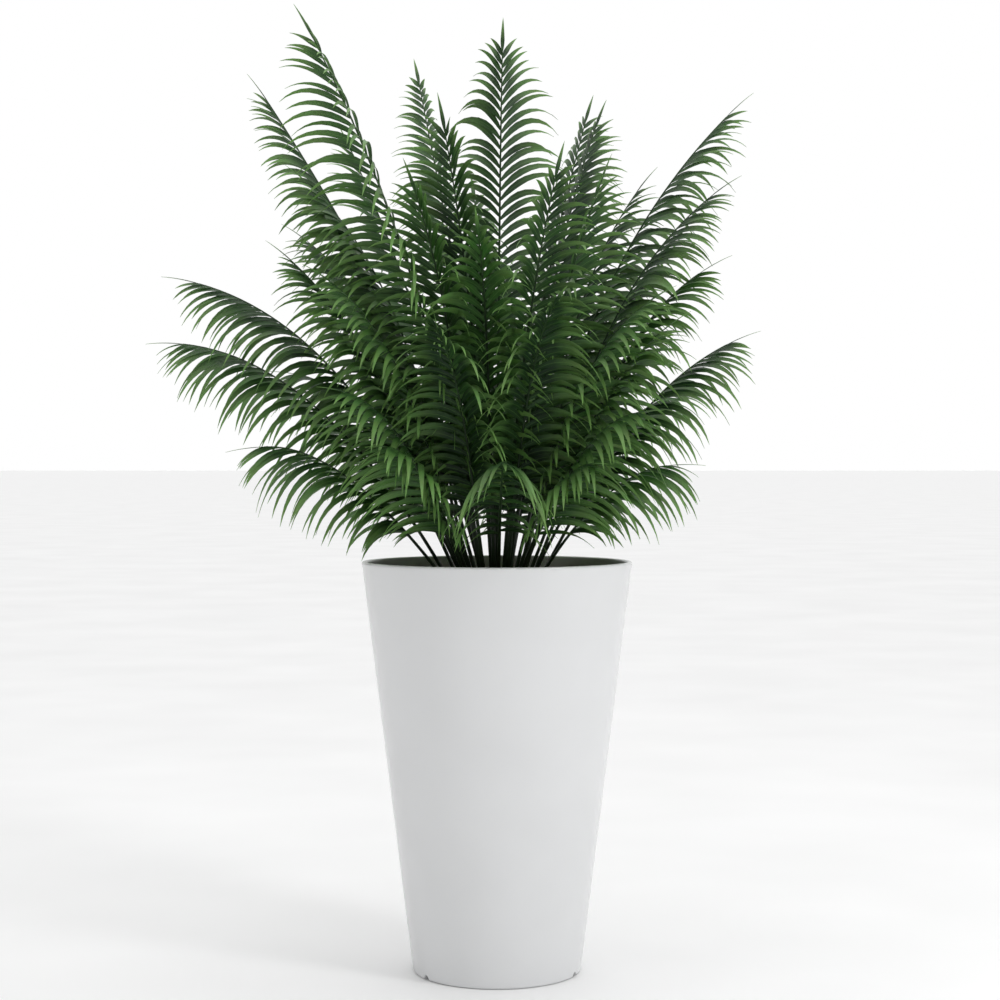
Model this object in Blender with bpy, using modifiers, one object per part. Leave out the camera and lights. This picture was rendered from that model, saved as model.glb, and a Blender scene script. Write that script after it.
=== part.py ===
"""Potted palm: a tall tapered planter filled with soil, and a clump of arching palm leaves.

Metres, +Z up. The origin is the middle of the planter's foot, on the surface it stands on.
Headings are in degrees: 0 is to the right (+X), 90 to the back, 180 to the left, 270 to the front.
"""

import math
from collections import namedtuple

import bmesh
import bpy
from mathutils import Matrix, Vector
from mathutils.bvhtree import BVHTree
from mathutils.geometry import interpolate_bezier

# Planter
PLANTER_HEIGHT = 0.750
RIM_RADIUS = 0.2475
FOOT_RADIUS = 0.154
WALL = 0.005
RIM_WIDTH = 0.009
RIM_DEPTH = 0.028
RIM_ROUND = 0.004
FOOT_ROUND = 0.006
FOOT_WIDTH = 0.012
FLOOR_UNDERSIDE = 0.012
PAD_RADIUS = 0.040
FLOOR_TOP = 0.018
TURNED_SIDES = 48
NOTCH_HEADINGS = (-145.0, -25.0, 95.0)
NOTCH_WIDTH = 0.014
NOTCH_HEIGHT = 0.010

# Soil
SOIL_TOP = 0.700
SOIL_CROWN = 0.006
GAP = 0.0003

# Leaf stalks and midribs
PLANTING_DEPTH = 0.030
FOOT_SPACING = 0.0125
FOOT_STEP = 0.003
STALK_RADIUS = 0.0045
SOCKET_RADIUS = 0.0058
MIDRIB_TIP_RADIUS = 0.0016
STALK_RINGS = 5
STALK_LEAST = 0.10
STALK_SHARE = 0.12
START_ARM = 0.40
TIP_ARM = 0.33
CURVE_POINTS = 60

# Leaflets
LEAFLET_PITCH = 0.076
LEAFLET_WIDTH = 0.021
LEAFLET_THICKNESS = 0.0016
LEAFLET_CLEARANCE = 0.0012
ROOT_FORWARD = 35.0
TIP_FORWARD = 62.0
LEAFLET_LIFT = -18.0
LEAFLET_STRAIGHT = 0.93
LEAFLET_HANG = 0.40
MIDDLE_HANG = 0.10
TIP_LEAFLET_LENGTH = 0.07
RIM_CLEARANCE = 0.010

Frond = namedtuple("Frond", "heading reach height lean tip_rise leaflet")
Ring = namedtuple("Ring", "place direction right upper radius")
Guard = namedtuple("Guard", "tree center reach")

# One row a leaf: where its tip is, how far its stalk leans at the soil, how steeply its tip still
# rises (less than 0 hangs down), and the length of its longest leaflets.
FRONDS = (
    # left side
    Frond(222, 0.455, 1.700, 12, 54, 0.160),
    Frond(188, 0.450, 1.630, 14, 56, 0.150),
    Frond(150, 0.350, 1.580, 12, 62, 0.140),
    Frond(200, 0.395, 1.455, 18, 36, 0.150),
    Frond(196, 0.425, 1.325, 22, 36, 0.140),
    Frond(183, 0.610, 1.268, 22, 6, 0.170),
    Frond(177, 0.650, 1.150, 29, -5, 0.170),
    Frond(190, 0.490, 0.937, 36, -32, 0.170),
    Frond(165, 0.420, 1.380, 20, 30, 0.150),
    # top
    Frond(110, 0.500, 1.765, 10, 62, 0.120),
    Frond(245, 0.240, 1.567, 8, 66, 0.140),
    Frond(85, 0.130, 1.772, 3, 76, 0.160),
    Frond(235, 0.280, 1.453, 14, 56, 0.140),
    Frond(60, 0.380, 1.664, 10, 62, 0.140),
    Frond(50, 0.330, 1.640, 12, 60, 0.130),
    Frond(290, 0.330, 1.470, 12, 54, 0.140),
    Frond(325, 0.245, 1.474, 10, 66, 0.140),
    # right side
    Frond(8, 0.480, 1.620, 13, 42, 0.150),
    Frond(352, 0.443, 1.448, 18, 32, 0.150),
    Frond(20, 0.320, 1.488, 14, 48, 0.140),
    Frond(335, 0.375, 1.196, 24, 28, 0.140),
    Frond(5, 0.490, 1.175, 28, 18, 0.160),
    Frond(348, 0.380, 0.910, 28, -30, 0.160),
    Frond(0, 0.430, 1.310, 24, 24, 0.150),
    # front
    Frond(272, 0.420, 0.900, 24, -45, 0.160),
    Frond(250, 0.370, 1.180, 22, 8, 0.150),
    Frond(288, 0.380, 1.220, 20, 12, 0.150),
    Frond(225, 0.430, 1.050, 28, -10, 0.160),
    Frond(312, 0.420, 1.010, 26, -15, 0.160),
    Frond(263, 0.300, 1.360, 14, 38, 0.150),
    Frond(237, 0.400, 0.940, 33, -32, 0.150),
    Frond(300, 0.370, 0.910, 32, -34, 0.150),
    Frond(213, 0.400, 1.270, 22, 20, 0.150),
    Frond(320, 0.400, 1.230, 22, 16, 0.150),
    # back
    Frond(38, 0.420, 1.300, 20, 16, 0.150),
    Frond(66, 0.450, 1.150, 24, 0, 0.160),
    Frond(92, 0.460, 1.250, 22, 10, 0.160),
    Frond(117, 0.440, 1.050, 28, -12, 0.160),
    Frond(138, 0.460, 1.320, 22, 20, 0.150),
    Frond(158, 0.480, 1.100, 28, -8, 0.160),
    Frond(80, 0.400, 0.940, 33, -32, 0.150),
    Frond(132, 0.390, 0.920, 34, -32, 0.150),
    Frond(26, 0.450, 1.060, 30, -10, 0.160),
    Frond(100, 0.300, 1.500, 12, 50, 0.150),
)

# What a leaflet tries in turn where another leaf is in its way: turned up or down in degrees, and
# its length as a share of the full one.
LEAFLET_TRIES = (
    (0.0, 1.0),
    (14.0, 1.0),
    (-14.0, 1.0),
    (28.0, 0.9),
    (-28.0, 0.9),
    (0.0, 0.7),
    (20.0, 0.7),
    (-20.0, 0.7),
    (0.0, 0.5),
    (30.0, 0.5),
    (0.0, 0.35),
)


def clear_scene():
    for item in list(bpy.data.objects):
        bpy.data.objects.remove(item, do_unlink=True)


def new_collection(name):
    collection = bpy.data.collections.new(name)
    bpy.context.scene.collection.children.link(collection)
    return collection


def make_material(name, color, roughness, metallic=0.0):
    material = bpy.data.materials.new(name)
    material.use_nodes = True
    shader = material.node_tree.nodes["Principled BSDF"]
    shader.inputs["Base Color"].default_value = (*color, 1.0)
    shader.inputs["Roughness"].default_value = roughness
    shader.inputs["Metallic"].default_value = metallic
    return material


def white_plastic():
    return make_material("white_moulded_plastic", (0.80, 0.81, 0.82), 0.30)


def dark_soil():
    return make_material("potting_compost", (0.035, 0.022, 0.014), 0.95)


def leaf_green(number):
    shade = 0.8 + 0.4 * (number % 5) / 4
    return make_material(f"palm_leaf_{number:02d}", (0.030 * shade, 0.085 * shade, 0.022 * shade), 0.45)


def add_object(name, mesh, collection, material):
    item = bpy.data.objects.new(name, mesh)
    mesh.materials.append(material)
    collection.objects.link(item)
    return item


def quarter_round(center_x, center_z, radius, start, end, steps=3):
    """Points on an arc in the XZ plane, from one angle to another."""
    points = []
    for step in range(steps + 1):
        angle = math.radians(start + (end - start) * step / steps)
        points.append((center_x + radius * math.cos(angle), center_z + radius * math.sin(angle)))
    return points


def turned(name, profile, sides, collection, material):
    """A closed body turned about Z, from a profile whose two ends are on the axis."""
    mesh = bpy.data.meshes.new(name)
    vertices = [(x, 0.0, z) for x, z in profile]
    edges = [(i, i + 1) for i in range(len(profile) - 1)]
    mesh.from_pydata(vertices, edges, [])
    item = add_object(name, mesh, collection, material)
    screw = item.modifiers.new("turn", "SCREW")
    screw.steps = sides
    screw.render_steps = sides
    screw.use_merge_vertices = True
    screw.merge_threshold = 0.0001
    screw.use_smooth_shade = True
    return item


def wall_radius(height):
    """Outer radius of the straight taper."""
    return FOOT_RADIUS + (RIM_RADIUS - FOOT_RADIUS) * height / PLANTER_HEIGHT


def planter_profile():
    inside_top = RIM_RADIUS - RIM_WIDTH
    rim_foot = PLANTER_HEIGHT - RIM_DEPTH
    profile = [(0.0, FLOOR_TOP), (wall_radius(FLOOR_TOP) - WALL, FLOOR_TOP)]
    profile.append((wall_radius(rim_foot - WALL) - WALL, rim_foot - WALL))
    profile.append((inside_top - RIM_DEPTH * 0.1, rim_foot))
    top_center = PLANTER_HEIGHT - RIM_ROUND
    profile += quarter_round(inside_top + RIM_ROUND, top_center, RIM_ROUND, 180, 90)
    profile += quarter_round(RIM_RADIUS - RIM_ROUND, top_center, RIM_ROUND, 90, 0)
    profile += quarter_round(wall_radius(FOOT_ROUND) - FOOT_ROUND, FOOT_ROUND, FOOT_ROUND, 0, -90)
    foot_inside = FOOT_RADIUS - FOOT_WIDTH
    profile += [(foot_inside, 0.0), (foot_inside, FLOOR_UNDERSIDE)]
    profile += [(PAD_RADIUS, FLOOR_UNDERSIDE), (PAD_RADIUS, 0.0), (0.0, 0.0)]
    return profile


def notch_cutter(number, heading, cutters):
    """An arched bar that cuts one drainage notch through the foot edge."""
    bpy.ops.mesh.primitive_cylinder_add(vertices=16, radius=NOTCH_WIDTH / 2, depth=FOOT_WIDTH * 4)
    cutter = bpy.context.object
    cutter.name = f"notch_cutter_{number}"
    turn = Matrix.Rotation(math.radians(heading), 4, "Z")
    place = Matrix.Translation((FOOT_RADIUS, 0.0, NOTCH_HEIGHT - NOTCH_WIDTH / 2))
    lay_down = Matrix.Rotation(math.radians(90), 4, "Y")
    cutter.matrix_world = turn @ place @ lay_down
    cutter.hide_render = True
    cutter.display_type = "WIRE"
    for collection in list(cutter.users_collection):
        collection.objects.unlink(cutter)
    cutters.objects.link(cutter)
    return cutter


def make_planter(parts, cutters):
    planter = turned("planter", planter_profile(), TURNED_SIDES, parts, white_plastic())
    for number, heading in enumerate(NOTCH_HEADINGS, start=1):
        cut = planter.modifiers.new(f"notch_{number}", "BOOLEAN")
        cut.operation = "DIFFERENCE"
        cut.solver = "EXACT"
        cut.object = notch_cutter(number, heading, cutters)
    return planter


def soil_profile():
    bottom = FLOOR_TOP + GAP
    edge = SOIL_TOP - SOIL_CROWN
    side_gap = WALL + GAP
    return [
        (0.0, SOIL_TOP + SOIL_CROWN),
        (0.10, SOIL_TOP + SOIL_CROWN),
        (0.20, SOIL_TOP),
        (wall_radius(edge) - side_gap, edge),
        (wall_radius(bottom) - side_gap, bottom),
        (0.0, bottom),
    ]


def make_soil(feet, parts, cutters):
    """The soil, with a socket where each leaf stalk is planted."""
    soil = turned("potting_soil", soil_profile(), TURNED_SIDES, parts, dark_soil())
    for number, (foot, frond) in enumerate(zip(feet, FRONDS), start=1):
        bpy.ops.mesh.primitive_cone_add(
            vertices=6,
            radius1=SOCKET_RADIUS,
            radius2=SOCKET_RADIUS,
            depth=PLANTING_DEPTH * 2,
        )
        socket = bpy.context.object
        socket.name = f"socket_cutter_{number:02d}"
        lean = Matrix.Rotation(math.radians(frond.lean), 4, "Y")
        turn = Matrix.Rotation(math.radians(frond.heading), 4, "Z")
        up = Matrix.Translation((0.0, 0.0, PLANTING_DEPTH - GAP))
        socket.matrix_world = Matrix.Translation(foot) @ turn @ lean @ up
        socket.hide_render = True
        socket.display_type = "WIRE"
        for collection in list(socket.users_collection):
            collection.objects.unlink(socket)
        cutters.objects.link(socket)
        cut = soil.modifiers.new(f"socket_{number:02d}", "BOOLEAN")
        cut.operation = "DIFFERENCE"
        cut.solver = "EXACT"
        cut.object = socket
    return soil


def outward(heading):
    angle = math.radians(heading)
    return Vector((math.cos(angle), math.sin(angle), 0.0))


def place_feet():
    """The stalks stand close together: the upright ones in the middle, the leaning ones around them."""
    feet = {}
    for frond in sorted(FRONDS, key=lambda f: f.lean):
        radius = 0.0
        while True:
            foot = outward(frond.heading) * radius
            if all((foot - other).length > FOOT_SPACING for other in feet.values()):
                break
            radius += FOOT_STEP
        feet[frond] = foot
    sunk = Vector((0.0, 0.0, SOIL_TOP + SOIL_CROWN - PLANTING_DEPTH))
    return [feet[frond] + sunk for frond in FRONDS]


def midrib_curve(foot, frond):
    """Points along the leaf's stalk and midrib, at equal steps, from the soil to the tip."""
    tip = outward(frond.heading) * frond.reach + Vector((0.0, 0.0, frond.height))
    chord = (tip - foot).length
    lean = math.radians(frond.lean)
    rise = math.radians(frond.tip_rise)
    up = Vector((0.0, 0.0, 1.0))
    start = outward(frond.heading) * math.sin(lean) + up * math.cos(lean)
    end = outward(frond.heading) * math.cos(rise) + up * math.sin(rise)
    handles = (foot + start * chord * START_ARM, tip - end * chord * TIP_ARM)
    points = interpolate_bezier(foot, handles[0], handles[1], tip, CURVE_POINTS)
    lengths = [0.0]
    for before, after in zip(points, points[1:]):
        lengths.append(lengths[-1] + (after - before).length)
    return points, lengths


def point_at(points, lengths, distance):
    """The place and direction at a distance along a midrib."""
    index = 1
    while index < len(lengths) - 1 and lengths[index] < distance:
        index += 1
    span = lengths[index] - lengths[index - 1]
    share = (distance - lengths[index - 1]) / span
    place = points[index - 1].lerp(points[index], share)
    before = points[max(index - 2, 0)]
    after = points[min(index + 1, len(points) - 1)]
    return place, (after - before).normalized()


def cross_axes(direction, heading):
    """The leaf's right side and its upper side, across its midrib."""
    right = outward(heading).cross(Vector((0.0, 0.0, 1.0)))
    upper = right.cross(direction).normalized()
    return right, upper


def ring_corners(ring):
    """A midrib is three-sided: a ridge above, and two corners below."""
    corners = [ring.place + ring.upper * ring.radius]
    for side in (1.0, -1.0):
        low = ring.right * side * 0.87 - ring.upper * 0.5
        corners.append(ring.place + low * ring.radius)
    return corners


def extrude_to(form, face, old_places, new_places):
    """Extrudes a face, moves each corner from its old place to its new one, and lists them in order."""
    made = bmesh.ops.extrude_discrete_faces(form, faces=[face])["faces"][0]
    corners = []
    for place in old_places:
        corners.append(min(made.verts, key=lambda corner: (corner.co - place).length_squared))
    for corner, place in zip(corners, new_places):
        corner.co = place
    return made, corners


def midrib_rings(frond, foot):
    """The places along a leaf where its stalk and midrib have a ring of corners, and its tip."""
    points, lengths = midrib_curve(foot, frond)
    total = lengths[-1] - TIP_LEAFLET_LENGTH
    stalk = STALK_LEAST + total * STALK_SHARE
    gaps = 2 * max(4, round((total - stalk) / LEAFLET_PITCH))
    distances = [stalk * i / STALK_RINGS for i in range(STALK_RINGS)]
    distances += [stalk + (total - stalk) * i / gaps for i in range(gaps + 1)]
    rings = []
    for distance in distances:
        place, direction = point_at(points, lengths, distance)
        right, upper = cross_axes(direction, frond.heading)
        radius = STALK_RADIUS + (MIDRIB_TIP_RADIUS - STALK_RADIUS) * distance / total
        rings.append(Ring(place, direction, right, upper, radius))
    return rings, points[-1]


def make_midrib(rings, tip):
    """The stalk and midrib: one closed three-sided tube with a pointed end."""
    form = bmesh.new()
    bmesh.ops.create_cone(form, cap_ends=True, segments=3, radius1=1.0, radius2=1.0, depth=2.0)
    ends = [face for face in form.faces if len(face.verts) == 3]
    foot, face = sorted(ends, key=lambda end: end.calc_center_median().z)
    sections = []
    for end, ring in ((foot, rings[0]), (face, rings[1])):
        corners = [None, None, None]
        for corner in end.verts:
            turn = math.degrees(math.atan2(corner.co.y, corner.co.x)) / 120.0
            corners[round(turn) % 3] = corner
        for corner, place in zip(corners, ring_corners(ring)):
            corner.co = place
        sections.append(corners)
    for before, after in zip(rings[1:], rings[2:]):
        face, corners = extrude_to(form, face, ring_corners(before), ring_corners(after))
        sections.append(corners)
    face, corners = extrude_to(form, face, ring_corners(rings[-1]), [tip] * 3)
    bmesh.ops.pointmerge(form, verts=corners, merge_co=tip)
    return form, sections


def leaflet_length(share, frond):
    """Long in the lower half of the blade, and shorter towards both ends."""
    full = math.sin(math.pi * (0.20 + 0.72 * share)) ** 0.7
    return frond.leaflet * max(full, 0.35)


def leaflet_places(ring, next_ring, side, share, frond, turn, length_share):
    """The four corners at a leaflet's middle, and its tip."""
    root = (ring.place + next_ring.place) / 2
    length = leaflet_length(share, frond) * length_share
    forward = math.radians(ROOT_FORWARD + (TIP_FORWARD - ROOT_FORWARD) * share)
    lift = math.radians(LEAFLET_LIFT + turn)
    across = ring.right * side * math.cos(lift) + ring.upper * math.sin(lift)
    course = across * math.cos(forward) + ring.direction * math.sin(forward)
    down = Vector((0.0, 0.0, -1.0))
    hang = down - course * down.dot(course)
    middle = root + course * length * 0.5 + hang * length * MIDDLE_HANG
    tip = root + course * length * LEAFLET_STRAIGHT + hang * length * LEAFLET_HANG
    along = (tip - root).normalized()
    width = (ring.direction - along * ring.direction.dot(along)).normalized()
    upper = along.cross(width) * side
    return root, middle, width, upper, tip


def middle_corners(middle, width, upper, extra):
    wide = width * (LEAFLET_WIDTH / 2 + extra)
    thick = upper * (LEAFLET_THICKNESS / 2 + extra)
    return [middle - wide + thick, middle - wide - thick, middle + wide - thick, middle + wide + thick]


def leaflet_guard(corners, places):
    """A leaflet's shape a little enlarged, to test whether its place is free."""
    root, middle, width, upper, tip = places
    past_tip = tip + (tip - root).normalized() * LEAFLET_CLEARANCE * 2
    start = [root + (corner.co - root) * 1.1 for corner in corners]
    corners = middle_corners(middle, width, upper, LEAFLET_CLEARANCE)
    end = [past_tip + (corner - middle) * 0.1 for corner in corners]
    faces = []
    for first in (0, 4):
        for i in range(4):
            j = (i + 1) % 4
            a, b, c, d = first + i, first + j, first + j + 4, first + i + 4
            faces += [(a, b, c), (a, c, d), (a, b, d), (b, c, d)]  # a twisted side folds either way
    faces += [(8, 9, 10), (8, 10, 11)]
    tree = BVHTree.FromPolygons(start + corners + end, faces)
    center = (root + tip) / 2
    reach = max((corner - center).length for corner in start + corners + end)
    return Guard(tree, center, reach)


def over_planter(places):
    """Whether a hanging leaflet would touch the rim or the soil."""
    root, middle, width, upper, tip = places
    for place in (middle, tip, (middle + tip) / 2):
        low = place.z < PLANTER_HEIGHT + RIM_CLEARANCE
        if low and math.hypot(place.x, place.y) < RIM_RADIUS + RIM_CLEARANCE:
            return True
    return False


def is_free(guard, others):
    for other in others:
        near = (guard.center - other.center).length < guard.reach + other.reach
        if near and guard.tree.overlap(other.tree):
            return False
    return True


def grow_leaflet(form, corners, places):
    """One leaflet, drawn out of a side of the midrib to its middle and on to its point."""
    root, middle, width, upper, tip = places
    face = form.faces.get(corners)
    old_places = [corner.co.copy() for corner in corners]
    middle_places = middle_corners(middle, width, upper, 0.0)
    face, _ = extrude_to(form, face, old_places, middle_places)
    face, ends = extrude_to(form, face, middle_places, [tip] * 4)
    bmesh.ops.pointmerge(form, verts=ends, merge_co=tip)


def grow_leaflets(form, sections, rings, frond, others):
    """Leaflets on alternate sides; one that would meet another leaf turns aside or stays shorter."""
    guards = []
    blade = range(STALK_RINGS, len(rings) - 1)
    for index in blade:
        side = 1.0 if index % 2 else -1.0
        low = 1 if side > 0 else 2
        share = (index - STALK_RINGS) / len(blade)
        here = sections[index]
        ahead = sections[index + 1]
        corners = [here[0], here[low], ahead[low], ahead[0]]
        for turn, length_share in LEAFLET_TRIES:
            places = leaflet_places(rings[index], rings[index + 1], side, share, frond, turn, length_share)
            guard = leaflet_guard(corners, places)
            if not over_planter(places) and is_free(guard, others):
                grow_leaflet(form, corners, places)
                guards.append(guard)
                break
    return guards


def midrib_guard(form):
    places = [corner.co for corner in form.verts]
    center = sum(places, Vector()) / len(places)
    reach = max((place - center).length for place in places)
    return Guard(BVHTree.FromBMesh(form), center, reach)


def make_fronds(feet, parts):
    midribs = []
    for frond, foot in zip(FRONDS, feet):
        rings, tip = midrib_rings(frond, foot)
        form, sections = make_midrib(rings, tip)
        midribs.append((frond, rings, form, sections, midrib_guard(form)))
    grown = []
    for number, (frond, rings, form, sections, guard) in enumerate(midribs, start=1):
        others = [midrib[4] for midrib in midribs if midrib[4] is not guard] + grown
        grown += grow_leaflets(form, sections, rings, frond, others)
        mesh = bpy.data.meshes.new(f"frond_{number:02d}")
        form.to_mesh(mesh)
        form.free()
        add_object(mesh.name, mesh, parts, leaf_green(number))


def main():
    clear_scene()
    parts = new_collection("potted_palm")
    cutters = new_collection("cutters")
    make_planter(parts, cutters)
    feet = place_feet()
    make_soil(feet, parts, cutters)
    make_fronds(feet, parts)


main()
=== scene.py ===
"""Looks of the potted palm: a satin white planter, crumbly compost and feathery living palm leaves."""

import math
import random
from collections import namedtuple

import bmesh
import bpy
from mathutils import Matrix, Vector, noise
from mathutils.geometry import interpolate_bezier


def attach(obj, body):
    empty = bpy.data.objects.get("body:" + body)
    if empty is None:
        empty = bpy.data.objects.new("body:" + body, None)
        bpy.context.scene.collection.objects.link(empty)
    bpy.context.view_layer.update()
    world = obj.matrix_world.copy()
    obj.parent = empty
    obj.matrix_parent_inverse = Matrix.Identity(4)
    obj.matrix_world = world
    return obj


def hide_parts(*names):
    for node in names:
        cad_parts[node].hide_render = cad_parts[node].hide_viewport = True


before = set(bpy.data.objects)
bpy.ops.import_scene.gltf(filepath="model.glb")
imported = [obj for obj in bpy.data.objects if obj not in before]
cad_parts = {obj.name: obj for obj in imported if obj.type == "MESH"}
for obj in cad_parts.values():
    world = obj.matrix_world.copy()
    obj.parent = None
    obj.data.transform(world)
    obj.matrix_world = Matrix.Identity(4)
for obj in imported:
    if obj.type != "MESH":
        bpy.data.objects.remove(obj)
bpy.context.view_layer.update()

bl_info = {
    "name": "Potted palm",
    "version": (1, 0, 0),
    "blender": (4, 5, 0),
    "location": "3D View > Sidebar > Palm",
    "description": "Builds the planter, the compost and the leaves of a potted palm",
    "category": "Object",
}

BODY = "root"

# Planter construction, as in the CAD
PLANTER_HEIGHT = 0.750
RIM_RADIUS = 0.2475
SOIL_CROWN_TOP = 0.706
FOOT_RADIUS = 0.154
WALL = 0.005
RIM_WIDTH = 0.009
RIM_DEPTH = 0.028
RIM_ROUND = 0.004
FOOT_ROUND = 0.006
FOOT_WIDTH = 0.012
FLOOR_UNDERSIDE = 0.012
PAD_RADIUS = 0.040
FLOOR_TOP = 0.018
NOTCH_HEADINGS = (-145.0, -25.0, 95.0)
NOTCH_WIDTH = 0.014
NOTCH_HEIGHT = 0.010
LATHE_STEPS = 144
FLOOR_FILLET = 0.004
RIM_THICKENING = 0.1
INNER_WALL_SHARES = (0.15, 0.4, 0.6, 0.8, 0.9, 0.95)
OUTER_WALL_SHARES = (0.985, 0.97, 0.9, 0.75, 0.6, 0.45, 0.3, 0.15, 0.05)
SHARP_ANGLE = 40.0

# Soil
SOIL_GAP = 0.0006
SOIL_RINGS = 40
SOIL_SIDES = 120
SOIL_EDGE_DROP = 0.012
CLOD_SIZE = 0.016
CLOD_HEIGHT = 0.0045
CLOD_STRENGTH = 0.6
FINE_CLOD_STRENGTH = 0.6
FINE_CLOD_RATIO = 2.7

# Leaf stalks and midribs, as in the CAD
PLANTING_DEPTH = 0.030
FOOT_SPACING = 0.0125
FOOT_STEP = 0.003
STALK_RADIUS = 0.0045
MIDRIB_TIP_RADIUS = 0.0011
STALK_LEAST = 0.10
STALK_SHARE = 0.12
START_ARM = 0.40
TIP_ARM = 0.33
CURVE_POINTS = 60
TIP_LEAFLET_LENGTH = 0.07
MIDRIB_SIDES = 8
MIDRIB_STEP = 0.020
MIDRIB_FLATTENING = 0.72
MIDRIB_FLAT_FROM = 0.6

# Leaflets
ROOT_FORWARD = 40.0
TIP_FORWARD = 66.0
LEAFLET_LIFT = -24.0
LEAFLET_STEPS = 9
FOLD = 0.22
BLADE_THICKNESS = 0.0005
RIGHT_START = 0.25
LEFT_START = 0.6

# How much the leaves and leaflets differ from each other
FIRST_SEED = 1000
FROND_TONES = (0.0, 0.7)
TONE_SPREAD = (-0.15, 0.3)
LENGTH_SPREAD = (0.90, 1.12)
SAG_SPREAD = (0.85, 1.2)
FORWARD_SPREAD = 3.0
LIFT_SPREAD = 10.0
TWIST_SPREAD = 0.7

# The stage
FLOOR_SIZE = 400.0
KEY_PLACE = (2.9, -2.3, 3.3)
KEY_TARGET = (0.0, 0.0, 1.0)
KEY_SIZE = 1.0
KEY_POWER = 42.0
CAMERA_PLACE = (0.0055, -3.71, 0.924)
CAMERA_PITCH = 0.96
CAMERA_LENS = 72.9

Frond = namedtuple("Frond", "heading reach height lean tip_rise leaflet")

# One row a leaf, as in the CAD: where its tip is, how far its stalk leans at the soil, how steeply
# its tip still rises, and the length of its longest leaflets.
FRONDS = (
    # left side
    Frond(222, 0.455, 1.700, 12, 54, 0.160),
    Frond(188, 0.450, 1.630, 14, 56, 0.150),
    Frond(150, 0.350, 1.580, 12, 62, 0.140),
    Frond(200, 0.395, 1.455, 18, 36, 0.150),
    Frond(196, 0.425, 1.325, 22, 36, 0.140),
    Frond(183, 0.610, 1.268, 22, 6, 0.170),
    Frond(177, 0.650, 1.150, 29, -5, 0.170),
    Frond(190, 0.490, 0.937, 36, -32, 0.170),
    Frond(165, 0.420, 1.380, 20, 30, 0.150),
    # top
    Frond(110, 0.500, 1.765, 10, 62, 0.120),
    Frond(245, 0.240, 1.567, 8, 66, 0.140),
    Frond(85, 0.130, 1.772, 3, 76, 0.160),
    Frond(235, 0.280, 1.453, 14, 56, 0.140),
    Frond(60, 0.380, 1.664, 10, 62, 0.140),
    Frond(50, 0.330, 1.640, 12, 60, 0.130),
    Frond(290, 0.330, 1.470, 12, 54, 0.140),
    Frond(325, 0.245, 1.474, 10, 66, 0.140),
    # right side
    Frond(8, 0.480, 1.620, 13, 42, 0.150),
    Frond(352, 0.443, 1.448, 18, 32, 0.150),
    Frond(20, 0.320, 1.488, 14, 48, 0.140),
    Frond(335, 0.375, 1.196, 24, 28, 0.140),
    Frond(5, 0.490, 1.175, 28, 18, 0.160),
    Frond(348, 0.380, 0.910, 28, -30, 0.160),
    Frond(0, 0.430, 1.310, 24, 24, 0.150),
    # front
    Frond(272, 0.420, 0.900, 24, -45, 0.160),
    Frond(250, 0.370, 1.180, 22, 8, 0.150),
    Frond(288, 0.380, 1.220, 20, 12, 0.150),
    Frond(225, 0.430, 1.050, 28, -10, 0.160),
    Frond(312, 0.420, 1.010, 26, -15, 0.160),
    Frond(263, 0.300, 1.360, 14, 38, 0.150),
    Frond(237, 0.400, 0.940, 33, -32, 0.150),
    Frond(300, 0.370, 0.910, 32, -34, 0.150),
    Frond(213, 0.400, 1.270, 22, 20, 0.150),
    Frond(320, 0.400, 1.230, 22, 16, 0.150),
    # back
    Frond(38, 0.420, 1.300, 20, 16, 0.150),
    Frond(66, 0.450, 1.150, 24, 0, 0.160),
    Frond(92, 0.460, 1.250, 22, 10, 0.160),
    Frond(117, 0.440, 1.050, 28, -12, 0.160),
    Frond(138, 0.460, 1.320, 22, 20, 0.150),
    Frond(158, 0.480, 1.100, 28, -8, 0.160),
    Frond(80, 0.400, 0.940, 33, -32, 0.150),
    Frond(132, 0.390, 0.920, 34, -32, 0.150),
    Frond(26, 0.450, 1.060, 30, -10, 0.160),
    Frond(100, 0.300, 1.500, 12, 50, 0.150),
)


# ---------------------------------------------------------------- materials

def linear(hex_color):
    """An sRGB hex colour as linear red, green, blue and alpha."""
    channels = []
    for start in (1, 3, 5):
        value = int(hex_color[start:start + 2], 16) / 255
        low = value / 12.92
        high = ((value + 0.055) / 1.055) ** 2.4
        channels.append(low if value <= 0.04045 else high)
    return (*channels, 1.0)


def add_node(tree, kind, settings=None, **links):
    """Adds a node, sets its properties and inputs, and joins its inputs to other nodes' outputs."""
    node = tree.nodes.new(kind)
    for key, value in (settings or {}).items():
        if isinstance(key, str) and hasattr(node, key):
            setattr(node, key, value)
        else:
            node.inputs[key].default_value = value
    for key, source in links.items():
        name = int(key[1:]) if key[0] == "_" and key[1:].isdigit() else key.replace("_", " ")
        tree.links.new(source, node.inputs[name])
    return node


def new_material(name):
    material = bpy.data.materials.new(name)
    material.use_nodes = True
    tree = material.node_tree
    return material, tree, tree.nodes["Principled BSDF"]


def set_ramp(node, stops):
    """Gives a colour ramp its stops: (position, hex colour)."""
    ramp = node.color_ramp
    while len(ramp.elements) < len(stops):
        ramp.elements.new(0.5)
    for element, (position, color) in zip(ramp.elements, stops):
        element.position = position
        element.color = linear(color)


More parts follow.
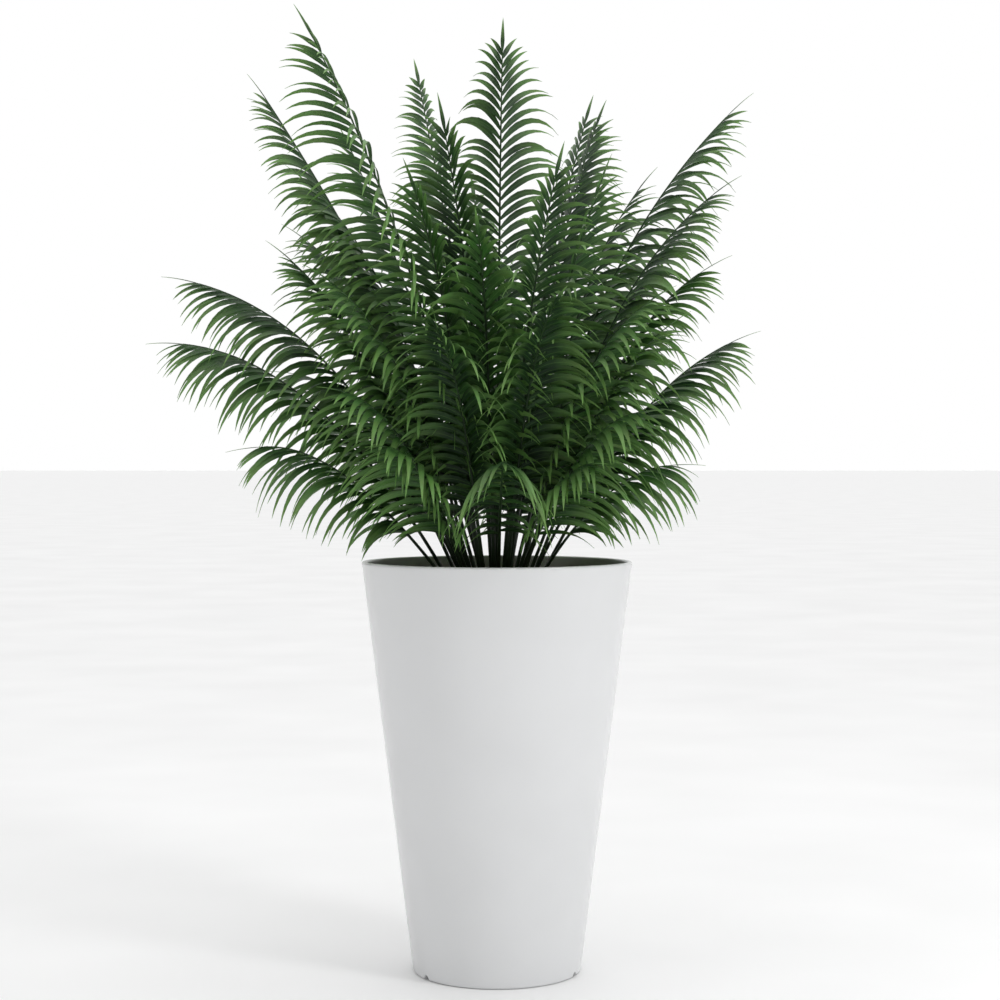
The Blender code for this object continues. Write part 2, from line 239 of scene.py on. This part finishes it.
def moulded_polypropylene(colors):
    """White polypropylene from a polished mould: satin gloss, with a faint long waviness."""
    material, tree, shader = new_material("moulded_polypropylene_white")
    place = add_node(tree, "ShaderNodeTexCoord").outputs["Object"]
    # slight cooling waves about 90 mm long make the reflections swim a little
    waves = add_node(tree, "ShaderNodeTexNoise", {"Scale": 11.0, "Detail": 1.0}, Vector=place)
    # hair-fine moulding grain, drawn at 2 mm so that it still shows
    grain = add_node(tree, "ShaderNodeTexNoise", {"Scale": 500.0, "Detail": 2.0}, Vector=place)
    # a faint dulling in patches about 170 mm wide, from handling
    dust = add_node(tree, "ShaderNodeTexNoise", {"Scale": 6.0, "Detail": 2.0}, Vector=place)
    color = add_node(tree, "ShaderNodeValToRGB", Fac=dust.outputs["Fac"])
    set_ramp(color, ((0.30, colors.planter_shade), (0.62, colors.planter)))
    tree.links.new(color.outputs["Color"], shader.inputs["Base Color"])
    rough = add_node(
        tree,
        "ShaderNodeMapRange",
        {"To Min": 0.20, "To Max": 0.26},
        Value=dust.outputs["Fac"],
    )
    tree.links.new(rough.outputs["Result"], shader.inputs["Roughness"])
    wave_bump = add_node(
        tree,
        "ShaderNodeBump",
        {"Strength": 0.05, "Distance": 0.002},
        Height=waves.outputs["Fac"],
    )
    bump = add_node(
        tree,
        "ShaderNodeBump",
        {"Strength": 0.03, "Distance": 0.0002},
        Height=grain.outputs["Fac"],
        Normal=wave_bump.outputs["Normal"],
    )
    tree.links.new(bump.outputs["Normal"], shader.inputs["Normal"])
    shader.inputs["IOR"].default_value = 1.49
    return material


def peat_compost(colors):
    """Peat and bark compost: dull dark brown crumbs, some drier and lighter."""
    material, tree, shader = new_material("peat_compost")
    place = add_node(tree, "ShaderNodeTexCoord").outputs["Object"]
    # crumbs about 6 mm across
    crumbs = add_node(tree, "ShaderNodeTexVoronoi", {"Scale": 160.0}, Vector=place)
    damp = add_node(
        tree,
        "ShaderNodeTexNoise",
        {"Scale": 30.0, "Detail": 8.0, "Roughness": 0.7},
        Vector=place,
    )
    mixed = add_node(
        tree,
        "ShaderNodeMath",
        {"operation": "MULTIPLY_ADD", 1: 0.45},
        _0=crumbs.outputs["Distance"],
        _2=damp.outputs["Fac"],
    )
    color = add_node(tree, "ShaderNodeValToRGB", Fac=mixed.outputs["Value"])
    set_ramp(color, ((0.38, "#15100b"), (0.55, colors.soil), (0.80, "#5a4632")))
    tree.links.new(color.outputs["Color"], shader.inputs["Base Color"])
    bump = add_node(
        tree,
        "ShaderNodeBump",
        {"Strength": 0.8, "Distance": 0.003},
        Height=mixed.outputs["Value"],
    )
    tree.links.new(bump.outputs["Normal"], shader.inputs["Normal"])
    shader.inputs["Roughness"].default_value = 0.95
    shader.inputs["IOR"].default_value = 1.45
    return material


def living_palm_leaf(colors):
    """Living palm leaf: waxy deep green, with fine veins along each leaflet and a tip painted paler as
    painted light.
    """
    material, tree, shader = new_material("living_palm_leaf")
    along = add_node(tree, "ShaderNodeAttribute", {"attribute_name": "along"}).outputs["Fac"]
    across = add_node(tree, "ShaderNodeAttribute", {"attribute_name": "across"}).outputs["Fac"]
    tone = add_node(tree, "ShaderNodeAttribute", {"attribute_name": "tone"}).outputs["Fac"]
    stalk_shade = add_node(tree, "ShaderNodeAttribute", {"attribute_name": "stalk_shade"}).outputs["Fac"]
    place = add_node(tree, "ShaderNodeTexCoord").outputs["Object"]
    mottle = add_node(tree, "ShaderNodeTexNoise", {"Scale": 38.0, "Detail": 4.0}, Vector=place)
    green = add_node(tree, "ShaderNodeMix", {"data_type": "RGBA"}, _0=tone)
    green.inputs[6].default_value = linear(colors.leaf_dark)
    green.inputs[7].default_value = linear(colors.leaf)
    # painted light: each leaflet is painted lighter and yellower towards its tip, where the tips reach
    # out of the shaded crown into the light
    tip = add_node(
        tree,
        "ShaderNodeMapRange",
        {"From Min": 0.30, "From Max": 1.0, "To Min": 0.0, "To Max": 0.85},
        Value=along,
    )
    tip_lit = add_node(
        tree,
        "ShaderNodeMix",
        {"data_type": "RGBA"},
        _0=tip.outputs["Result"],
        _6=green.outputs[2],
    )
    tip_lit.inputs[7].default_value = linear(colors.lit_leaf_tip)
    mottled = add_node(
        tree,
        "ShaderNodeMix",
        {"data_type": "RGBA", "blend_type": "MULTIPLY", 0: 0.35},
        _6=tip_lit.outputs[2],
        _7=mottle.outputs["Color"],
    )
    # a pale line where the blade folds along its own midrib
    fold = add_node(
        tree,
        "ShaderNodeMapRange",
        {"From Min": 0.0, "From Max": 0.10, "To Min": 0.45, "To Max": 0.0},
        Value=across,
    )
    lined = add_node(
        tree,
        "ShaderNodeMix",
        {"data_type": "RGBA"},
        _0=fold.outputs["Result"],
        _6=mottled.outputs[2],
    )
    lined.inputs[7].default_value = linear(colors.leaf_line)
    # painted shade: the stalks and midribs are painted near-black, most at the soil where they crowd into
    # the crown's shade, less towards the tips
    stalk_shaded = add_node(tree, "ShaderNodeMix", {"data_type": "RGBA"}, _0=stalk_shade, _6=lined.outputs[2])
    stalk_shaded.inputs[7].default_value = linear(colors.stalk)
    tree.links.new(stalk_shaded.outputs[2], shader.inputs["Base Color"])
    # parallel veins about 1.2 mm apart, drawn as fine ridges across the blade's width
    veins = add_node(tree, "ShaderNodeMath", {"operation": "MULTIPLY", 1: 38.0}, _0=across)
    ridges = add_node(tree, "ShaderNodeMath", {"operation": "SINE"}, _0=veins.outputs["Value"])
    bump = add_node(
        tree,
        "ShaderNodeBump",
        {"Strength": 0.25, "Distance": 0.0003},
        Height=ridges.outputs["Value"],
    )
    tree.links.new(bump.outputs["Normal"], shader.inputs["Normal"])
    rough = add_node(
        tree,
        "ShaderNodeMapRange",
        {"To Min": 0.36, "To Max": 0.52},
        Value=mottle.outputs["Fac"],
    )
    tree.links.new(rough.outputs["Result"], shader.inputs["Roughness"])
    shader.inputs["IOR"].default_value = 1.42
    return material


def plain_floor(colors):
    """Matt painted floor, plain and pale."""
    material, tree, shader = new_material("matt_floor_paint")
    place = add_node(tree, "ShaderNodeTexCoord").outputs["Object"]
    patches = add_node(tree, "ShaderNodeTexNoise", {"Scale": 1.5, "Detail": 2.0}, Vector=place)
    color = add_node(tree, "ShaderNodeValToRGB", Fac=patches.outputs["Fac"])
    set_ramp(color, ((0.3, "#f2f2f2"), (0.7, colors.floor)))
    tree.links.new(color.outputs["Color"], shader.inputs["Base Color"])
    shader.inputs["Roughness"].default_value = 0.8
    return material


# ---------------------------------------------------------------- shared helpers

def finish_piece(name, form, material, replaced):
    """Makes a bmesh into a piece that rides on the body and stands for a CAD node."""
    mesh = bpy.data.meshes.new(name)
    form.to_mesh(mesh)
    form.free()
    mesh.materials.append(material)
    mesh.shade_smooth()
    mesh.set_sharp_from_angle(angle=math.radians(SHARP_ANGLE))
    piece = bpy.data.objects.new(name, mesh)
    bpy.context.scene.collection.objects.link(piece)
    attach(piece, BODY)
    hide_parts(replaced)
    return piece


def arc(center_x, center_z, radius, start, end, steps=8):
    points = []
    for step in range(steps + 1):
        angle = math.radians(start + (end - start) * step / steps)
        across = center_x + radius * math.cos(angle)
        points.append(Vector((across, 0.0, center_z + radius * math.sin(angle))))
    return points


def spin_profile(profile, steps):
    """Turns a profile in the XZ plane all the way round Z, and closes its poles."""
    form = bmesh.new()
    corners = [form.verts.new(point) for point in profile]
    edges = [form.edges.new(pair) for pair in zip(corners, corners[1:])]
    bmesh.ops.spin(
        form,
        geom=corners + edges,
        cent=(0.0, 0.0, 0.0),
        axis=(0.0, 0.0, 1.0),
        angle=math.tau,
        steps=steps,
        use_merge=True,
    )
    bmesh.ops.remove_doubles(form, verts=form.verts, dist=1e-6)
    bmesh.ops.recalc_face_normals(form, faces=form.faces)
    return form


# ---------------------------------------------------------------- planter

def wall_radius(height):
    return FOOT_RADIUS + (RIM_RADIUS - FOOT_RADIUS) * height / PLANTER_HEIGHT


def planter_profile():
    """From the middle of the inner floor, up the inside, over the rim, down the outside and under."""
    inside_top = RIM_RADIUS - RIM_WIDTH
    rim_foot = PLANTER_HEIGHT - RIM_DEPTH
    floor_edge = wall_radius(FLOOR_TOP) - WALL
    profile = [Vector((0.0, 0.0, FLOOR_TOP))]
    profile += [Vector((floor_edge * share, 0.0, FLOOR_TOP)) for share in (0.5, 0.97)]
    profile += [Vector((floor_edge, 0.0, FLOOR_TOP + FLOOR_FILLET))]
    profile += [Vector((wall_radius(rim_foot * s) - WALL, 0.0, rim_foot * s)) for s in INNER_WALL_SHARES]
    profile += [Vector((wall_radius(rim_foot - WALL) - WALL, 0.0, rim_foot - WALL))]
    profile += [Vector((inside_top - RIM_DEPTH * RIM_THICKENING, 0.0, rim_foot))]
    top_center = PLANTER_HEIGHT - RIM_ROUND
    profile += arc(inside_top + RIM_ROUND, top_center, RIM_ROUND, 180, 90)
    profile += arc(RIM_RADIUS - RIM_ROUND, top_center, RIM_ROUND, 90, 0)
    heights = [PLANTER_HEIGHT * share for share in OUTER_WALL_SHARES]
    profile += [Vector((wall_radius(height), 0.0, height)) for height in heights]
    profile += arc(wall_radius(FOOT_ROUND) - FOOT_ROUND, FOOT_ROUND, FOOT_ROUND, 0, -90)
    foot_inside = FOOT_RADIUS - FOOT_WIDTH
    profile += [Vector((foot_inside, 0.0, 0.0)), Vector((foot_inside, 0.0, FLOOR_UNDERSIDE))]
    profile += [Vector((PAD_RADIUS, 0.0, FLOOR_UNDERSIDE)), Vector((PAD_RADIUS, 0.0, 0.0))]
    profile += [Vector((0.0, 0.0, 0.0))]
    return profile


def cut_notches(piece):
    """Three arched drainage notches through the foot edge."""
    form = bmesh.new()
    for heading in NOTCH_HEADINGS:
        turn = Matrix.Rotation(math.radians(heading), 4, "Z")
        place = Matrix.Translation((FOOT_RADIUS, 0.0, NOTCH_HEIGHT - NOTCH_WIDTH / 2))
        lay_down = Matrix.Rotation(math.radians(90), 4, "Y")
        bmesh.ops.create_cone(
            form,
            cap_ends=True,
            segments=32,
            radius1=NOTCH_WIDTH / 2,
            radius2=NOTCH_WIDTH / 2,
            depth=FOOT_WIDTH * 4,
            matrix=turn @ place @ lay_down,
        )
    mesh = bpy.data.meshes.new("notch_cutter")
    form.to_mesh(mesh)
    form.free()
    cutter = bpy.data.objects.new("notch_cutter", mesh)
    bpy.context.scene.collection.objects.link(cutter)
    cut = piece.modifiers.new("notches", "BOOLEAN")
    cut.operation = "DIFFERENCE"
    cut.solver = "EXACT"
    cut.object = cutter
    shape = piece.evaluated_get(bpy.context.evaluated_depsgraph_get())
    notched = bpy.data.meshes.new_from_object(shape)
    piece.modifiers.remove(cut)
    piece.data = notched
    bpy.data.objects.remove(cutter)
    notched.shade_smooth()
    notched.set_sharp_from_angle(angle=math.radians(SHARP_ANGLE))


# ---------------------------------------------------------------- soil

def soil_form():
    """A turned block whose top is broken up into clods and crumbs."""
    bottom = FLOOR_TOP + SOIL_GAP
    edge_top = SOIL_CROWN_TOP - SOIL_EDGE_DROP
    edge = wall_radius(edge_top) - WALL - SOIL_GAP
    profile = []
    for ring in range(SOIL_RINGS + 1):
        share = ring / SOIL_RINGS
        height = SOIL_CROWN_TOP - CLOD_HEIGHT - (SOIL_EDGE_DROP - CLOD_HEIGHT) * share ** 3
        profile.append(Vector((edge * share, 0.0, height)))
    for share in (0.75, 0.5, 0.25, 0.0):
        height = bottom + (edge_top - bottom) * share
        profile.append(Vector((wall_radius(height) - WALL - SOIL_GAP, 0.0, height)))
    profile.append(Vector((0.0, 0.0, bottom)))
    form = spin_profile(profile, SOIL_SIDES)
    top_limit = edge_top - 0.001
    for corner in form.verts:
        from_axis = math.hypot(corner.co.x, corner.co.y)
        if corner.co.z > top_limit and from_axis < edge - 0.001:
            place = corner.co / CLOD_SIZE
            clods = noise.noise(place) + FINE_CLOD_STRENGTH * noise.noise(place * FINE_CLOD_RATIO)
            corner.co.z += CLOD_HEIGHT * CLOD_STRENGTH * clods
    return form


# ---------------------------------------------------------------- leaves

def outward(heading):
    angle = math.radians(heading)
    return Vector((math.cos(angle), math.sin(angle), 0.0))


def place_feet():
    """The stalks stand close together: the upright ones in the middle, the leaning ones around them."""
    feet = {}
    for frond in sorted(FRONDS, key=lambda f: f.lean):
        radius = 0.0
        while True:
            foot = outward(frond.heading) * radius
            if all((foot - other).length > FOOT_SPACING for other in feet.values()):
                break
            radius += FOOT_STEP
        feet[frond] = foot
    sunk = Vector((0.0, 0.0, SOIL_CROWN_TOP - PLANTING_DEPTH))
    return [feet[frond] + sunk for frond in FRONDS]


def midrib_curve(foot, frond):
    """Points along the leaf's stalk and midrib, from the soil to the tip, and their distances."""
    tip = outward(frond.heading) * frond.reach + Vector((0.0, 0.0, frond.height))
    chord = (tip - foot).length
    lean = math.radians(frond.lean)
    rise = math.radians(frond.tip_rise)
    up = Vector((0.0, 0.0, 1.0))
    start = outward(frond.heading) * math.sin(lean) + up * math.cos(lean)
    end = outward(frond.heading) * math.cos(rise) + up * math.sin(rise)
    handles = (foot + start * chord * START_ARM, tip - end * chord * TIP_ARM)
    points = interpolate_bezier(foot, handles[0], handles[1], tip, CURVE_POINTS)
    lengths = [0.0]
    for before, after in zip(points, points[1:]):
        lengths.append(lengths[-1] + (after - before).length)
    return points, lengths


def point_at(points, lengths, distance):
    """The place and direction at a distance along a midrib."""
    index = 1
    while index < len(lengths) - 1 and lengths[index] < distance:
        index += 1
    span = lengths[index] - lengths[index - 1]
    share = (distance - lengths[index - 1]) / span
    place = points[index - 1].lerp(points[index], share)
    before = points[max(index - 2, 0)]
    after = points[min(index + 1, len(points) - 1)]
    return place, (after - before).normalized()


def leaflet_template():
    """One flat leaflet of unit length along X, a closed slab that add_leaflet narrows to a pointed tip,
    thins and bends.
    """
    form = bmesh.new()
    bmesh.ops.create_grid(form, x_segments=LEAFLET_STEPS, y_segments=2, size=0.5)
    for corner in form.verts:
        corner.co.x += 0.5
    bmesh.ops.solidify(form, geom=form.faces[:], thickness=1.0)
    bmesh.ops.recalc_face_normals(form, faces=form.faces[:])
    mesh = bpy.data.meshes.new("leaflet_template")
    form.to_mesh(mesh)
    form.free()
    return mesh


def blade_width(along):
    """Half-width share along a leaflet: narrow at the root, widest at a third, drawn out to a point."""
    return (0.30 + 0.70 * min(1.0, along / 0.30) ** 0.8) * max(0.0, 1.0 - along ** 1.8) ** 0.9 + 0.015


def leaflet_course(root, course, length, flex, steps):
    """Places and directions along a leaflet that starts along its course and sags under its weight."""
    places = [root.copy()]
    courses = [course.copy()]
    stride = length / steps
    down = Vector((0.0, 0.0, -1.0))
    for step in range(steps):
        share = (step + 1) / steps
        pull = flex * (0.5 + share) / steps
        course = (course + down * pull).normalized()
        places.append(places[-1] + course * stride)
        courses.append(course.copy())
    return places, courses


def add_leaflet(form, template, layers, root, course, forward, upper, length, width, flex, tone, twist):
    """Adds a copy of the template to a leaf, and bends it to its course."""
    places, courses = leaflet_course(root, course, length, flex, LEAFLET_STEPS)
    start = len(form.verts)
    form.from_mesh(template)
    form.verts.ensure_lookup_table()
    side = (forward - course * forward.dot(course)).normalized()
    if course.cross(side).dot(upper) < 0:
        side = -side
    for index in range(start, len(form.verts)):
        corner = form.verts[index]
        along = min(max(corner.co.x, 0.0), 1.0)
        across = corner.co.y * 2.0
        level = corner.co.z
        step = min(round(along * LEAFLET_STEPS), LEAFLET_STEPS)
        direction = courses[step]
        wide = (side - direction * side.dot(direction)).normalized()
        face = direction.cross(wide)
        turn = Matrix.Rotation(twist * along, 3, direction)
        wide = turn @ wide
        face = turn @ face
        half = width / 2 * blade_width(along)
        raised = half * FOLD * (abs(across) - 0.5)
        thick = BLADE_THICKNESS * level * (1.0 - 0.6 * abs(across))
        corner.co = places[step] + wide * half * across + face * (raised + thick)
        corner[layers["along"]] = along
        corner[layers["across"]] = abs(across)
        corner[layers["tone"]] = tone
        corner[layers["stalk_shade"]] = 0.0


def leaflet_size(share):
    """Leaflets are longest in the lower half of the blade and shorten quickly near the tip."""
    if share < 0.35:
        return 0.72 + 0.28 * share / 0.35
    return 0.30 + 0.70 * math.cos(math.pi / 2 * ((share - 0.35) / 0.65) ** 2.2)


def midrib_radius(share):
    return STALK_RADIUS + (MIDRIB_TIP_RADIUS - STALK_RADIUS) * min(1.0, share) ** 0.8


def add_midrib(form, layers, points, lengths, total, frond):
    """A tapering rod along the leaf's curve, flattened along its upper side."""
    count = max(12, round(total / MIDRIB_STEP))
    right = outward(frond.heading).cross(Vector((0.0, 0.0, 1.0)))
    bmesh.ops.create_cone(form, cap_ends=True, segments=MIDRIB_SIDES, radius1=1.0, radius2=1.0, depth=2.0)
    ends = [face for face in form.faces if len(face.verts) == MIDRIB_SIDES]
    foot, face = sorted(ends, key=lambda end: end.calc_center_median().z)
    rings = [list(foot.verts), list(face.verts)]
    for _ in range(count - 1):
        made = bmesh.ops.extrude_discrete_faces(form, faces=[face])["faces"][0]
        face = made
        rings.append(list(face.verts))
    for number, corners in enumerate(rings):
        share = number / count
        place, direction = point_at(points, lengths, total * share)
        upper = right.cross(direction).normalized()
        radius = midrib_radius(share)
        for corner in corners:
            angle = math.atan2(corner.co.y, corner.co.x)
            flat = MIDRIB_FLATTENING if math.cos(angle) > MIDRIB_FLAT_FROM else 1.0
            corner.co = place + (right * math.sin(angle) + upper * math.cos(angle) * flat) * radius
            corner[layers["along"]] = share * 0.4
            corner[layers["across"]] = 1.0
            corner[layers["tone"]] = 0.3
            # painted shade: the near-black stalk colour covers the midrib fully at the soil and fades to
            # just under half at the tip
            corner[layers["stalk_shade"]] = 1.0 - 0.55 * share


def frond_form(number, frond, foot, template, settings):
    """One whole leaf: stalk and midrib, leaflets in two ranks and a last one at the tip."""
    chance = random.Random(FIRST_SEED + number)
    form = bmesh.new()
    layers = {name: form.verts.layers.float.new(name) for name in ("along", "across", "tone", "stalk_shade")}
    points, lengths = midrib_curve(foot, frond)
    total = lengths[-1] - TIP_LEAFLET_LENGTH
    add_midrib(form, layers, points, lengths, total, frond)
    stalk = STALK_LEAST + total * STALK_SHARE
    pairs = max(8, round((total - stalk) / settings.leaflet_pitch))
    right = outward(frond.heading).cross(Vector((0.0, 0.0, 1.0)))
    frond_tone = chance.uniform(*FROND_TONES)
    for pair in range(pairs):
        for side in (1.0, -1.0):
            share = (pair + (RIGHT_START if side > 0 else LEFT_START)) / pairs
            distance = stalk + (total - stalk) * share
            place, direction = point_at(points, lengths, distance)
            upper = right.cross(direction).normalized()
            length = frond.leaflet * leaflet_size(share) * chance.uniform(*LENGTH_SPREAD)
            forward = math.radians(ROOT_FORWARD + (TIP_FORWARD - ROOT_FORWARD) * share ** 1.5)
            forward += math.radians(chance.uniform(-FORWARD_SPREAD, FORWARD_SPREAD))
            lift = math.radians(LEAFLET_LIFT + chance.uniform(-LIFT_SPREAD, LIFT_SPREAD))
            sideways = right * side * math.cos(lift) + upper * math.sin(lift)
            course = sideways * math.cos(forward) + direction * math.sin(forward)
            root = place + right * side * midrib_radius(distance / total) * 0.5
            flex = settings.leaflet_sag * (length / 0.15) * chance.uniform(*SAG_SPREAD)
            width = settings.leaflet_width * (0.60 + 0.40 * length / frond.leaflet)
            tone = min(1.0, max(0.0, frond_tone + chance.uniform(*TONE_SPREAD)))
            twist = chance.uniform(-TWIST_SPREAD, TWIST_SPREAD)
            add_leaflet(
                form, template, layers, root, course, direction, upper,
                length, width, flex, tone, twist,
            )
    place, direction = point_at(points, lengths, total)
    upper = right.cross(direction).normalized()
    add_leaflet(
        form, template, layers, place, direction, right, upper,
        TIP_LEAFLET_LENGTH, settings.leaflet_width * 0.6, 0.2, frond_tone, 0.0,
    )
    return form


# ---------------------------------------------------------------- settings

class PalmColors(bpy.types.PropertyGroup):
    planter: bpy.props.StringProperty(
        name="Planter",
        description="Planter colour",
        default="#f4f5f6",
    )
    planter_shade: bpy.props.StringProperty(
        name="Planter shade",
        description="Faint dulling",
        default="#f1f2f3",
    )
    soil: bpy.props.StringProperty(name="Soil", description="Compost colour", default="#2c2118")
    leaf: bpy.props.StringProperty(
        name="Leaf",
        description="Colour of the lighter leaves",
        default="#3f6e2c",
    )
    leaf_dark: bpy.props.StringProperty(
        name="Dark leaf",
        description="Colour of the darker leaves",
        default="#153417",
    )
    # painted light: the lit colour that the leaflets' tips are painted towards
    lit_leaf_tip: bpy.props.StringProperty(
        name="Leaf tip",
        description="Colour of the leaflets' tips",
        default="#8fc068",
    )
    leaf_line: bpy.props.StringProperty(
        name="Leaf line",
        description="Colour along each fold",
        default="#6f9a4c",
    )
    # near-black painted shade laid on the stalks and midribs, standing in for the shade inside the crown
    stalk: bpy.props.StringProperty(
        name="Stalk",
        description="Colour of stalks and midribs",
        default="#1a2c15",
    )
    floor: bpy.props.StringProperty(name="Floor", description="Floor colour", default="#f7f7f7")


class PalmSizes(bpy.types.PropertyGroup):
    leaflet_pitch: bpy.props.FloatProperty(
        name="Leaflet pitch",
        description="Distance between neighbouring leaflets on one side of a midrib",
        default=0.0185,
        min=0.01,
        unit="LENGTH",
    )
    leaflet_width: bpy.props.FloatProperty(
        name="Leaflet width",
        description="Width of a leaflet at its widest",
        default=0.0145,
        min=0.004,
        unit="LENGTH",
    )
    leaflet_sag: bpy.props.FloatProperty(
        name="Leaflet sag",
        description="How far a leaflet bends under its own weight",
        default=1.55,
        min=0.0,
        subtype="FACTOR",
    )


# ---------------------------------------------------------------- operators

class PALM_OT_planter(bpy.types.Operator):
    """Turn the planter and cut its drainage notches"""

    bl_idname = "palm.planter"
    bl_label = "Planter"

    def execute(self, context):
        form = spin_profile(planter_profile(), LATHE_STEPS)
        material = moulded_polypropylene(context.scene.palm_colors)
        piece = finish_piece("planter_shell", form, material, "planter")
        cut_notches(piece)
        return {"FINISHED"}


class PALM_OT_soil(bpy.types.Operator):
    """Fill the planter with crumbly compost"""

    bl_idname = "palm.soil"
    bl_label = "Soil"

    def execute(self, context):
        material = peat_compost(context.scene.palm_colors)
        finish_piece("compost", soil_form(), material, "potting_soil")
        return {"FINISHED"}


class PALM_OT_leaves(bpy.types.Operator):
    """Grow every palm leaf with its own leaflets"""

    bl_idname = "palm.leaves"
    bl_label = "Leaves"

    def execute(self, context):
        material = living_palm_leaf(context.scene.palm_colors)
        template = leaflet_template()
        for number, (frond, foot) in enumerate(zip(FRONDS, place_feet()), start=1):
            form = frond_form(number, frond, foot, template, context.scene.palm_sizes)
            finish_piece(f"palm_leaf_{number:02d}", form, material, f"frond_{number:02d}")
        bpy.data.meshes.remove(template)
        return {"FINISHED"}


class PALM_OT_stage(bpy.types.Operator):
    """Lay the floor, hang the soft lights and place the camera"""

    bl_idname = "palm.stage"
    bl_label = "Stage"

    def execute(self, context):
        form = bmesh.new()
        bmesh.ops.create_grid(form, x_segments=1, y_segments=1, size=FLOOR_SIZE)
        mesh = bpy.data.meshes.new("floor")
        form.to_mesh(mesh)
        form.free()
        mesh.materials.append(plain_floor(context.scene.palm_colors))
        floor = bpy.data.objects.new("floor", mesh)
        context.scene.collection.objects.link(floor)
        self.add_light("key_light", KEY_PLACE, KEY_TARGET, KEY_SIZE, KEY_POWER)
        self.add_world(context)
        self.add_camera(context)
        return {"FINISHED"}

    def add_light(self, name, place, target, size, power):
        light = bpy.data.lights.new(name, "AREA")
        light.shape = "DISK"
        light.size = size
        light.energy = power
        item = bpy.data.objects.new(name, light)
        item.location = place
        item.rotation_euler = (Vector(target) - Vector(place)).to_track_quat("-Z", "Y").to_euler()
        bpy.context.scene.collection.objects.link(item)

    def add_world(self, context):
        world = bpy.data.worlds.new("soft_white_studio")
        world.use_nodes = True
        tree = world.node_tree
        background = tree.nodes["Background"]
        # a white backdrop behind the plant, and a dimmer room in front of it
        heading = add_node(tree, "ShaderNodeTexCoord").outputs["Generated"]
        parts = add_node(tree, "ShaderNodeSeparateXYZ", Vector=heading)
        back = add_node(
            tree,
            "ShaderNodeMapRange",
            {"From Min": 0.55, "From Max": 0.9, "To Min": 0.06, "To Max": 1.0},
            Value=parts.outputs["Y"],
        )
        left = add_node(
            tree,
            "ShaderNodeMapRange",
            {"From Min": -0.9, "From Max": -0.25, "To Min": 0.15, "To Max": 1.0},
            Value=parts.outputs["X"],
        )
        dimmed = add_node(
            tree,
            "ShaderNodeMath",
            {"operation": "MULTIPLY"},
            _0=back.outputs["Result"],
            _1=left.outputs["Result"],
        )
        above = add_node(
            tree,
            "ShaderNodeMapRange",
            {"From Min": 0.45, "From Max": 1.0, "To Min": 0.0, "To Max": 1.9},
            Value=parts.outputs["Z"],
        )
        glow = add_node(
            tree,
            "ShaderNodeMath",
            {"operation": "ADD"},
            _0=dimmed.outputs["Value"],
            _1=above.outputs["Result"],
        )
        tree.links.new(glow.outputs["Value"], background.inputs["Strength"])
        background.inputs["Color"].default_value = linear("#ffffff")
        context.scene.world = world
        context.scene.view_settings.view_transform = "Standard"

    def add_camera(self, context):
        camera = bpy.data.cameras.new("camera")
        camera.sensor_width = 36.0
        camera.lens = CAMERA_LENS
        item = bpy.data.objects.new("camera", camera)
        item.location = CAMERA_PLACE
        item.rotation_euler = (math.radians(90.0 - CAMERA_PITCH), 0.0, 0.0)
        context.scene.collection.objects.link(item)
        context.scene.camera = item


class PALM_PT_panel(bpy.types.Panel):
    """The palm's pieces, sizes and colours"""

    bl_label = "Potted palm"
    bl_idname = "PALM_PT_panel"
    bl_space_type = "VIEW_3D"
    bl_region_type = "UI"
    bl_category = "Palm"

    def draw(self, context):
        for operator in (PALM_OT_planter, PALM_OT_soil, PALM_OT_leaves, PALM_OT_stage):
            self.layout.operator(operator.bl_idname)
        for group in (context.scene.palm_sizes, context.scene.palm_colors):
            for name in group.bl_rna.properties.keys():
                if name not in ("rna_type", "name"):
                    self.layout.prop(group, name)


CLASSES = (
    PalmColors,
    PalmSizes,
    PALM_OT_planter,
    PALM_OT_soil,
    PALM_OT_leaves,
    PALM_OT_stage,
    PALM_PT_panel,
)


def register():
    for item in CLASSES:
        bpy.utils.register_class(item)
    bpy.types.Scene.palm_colors = bpy.props.PointerProperty(type=PalmColors)
    bpy.types.Scene.palm_sizes = bpy.props.PointerProperty(type=PalmSizes)


def unregister():
    del bpy.types.Scene.palm_sizes
    del bpy.types.Scene.palm_colors
    for item in reversed(CLASSES):
        bpy.utils.unregister_class(item)


def main():
    register()
    bpy.ops.palm.planter()
    bpy.ops.palm.soil()
    bpy.ops.palm.leaves()
    bpy.ops.palm.stage()


if __name__ == "__main__":
    main()
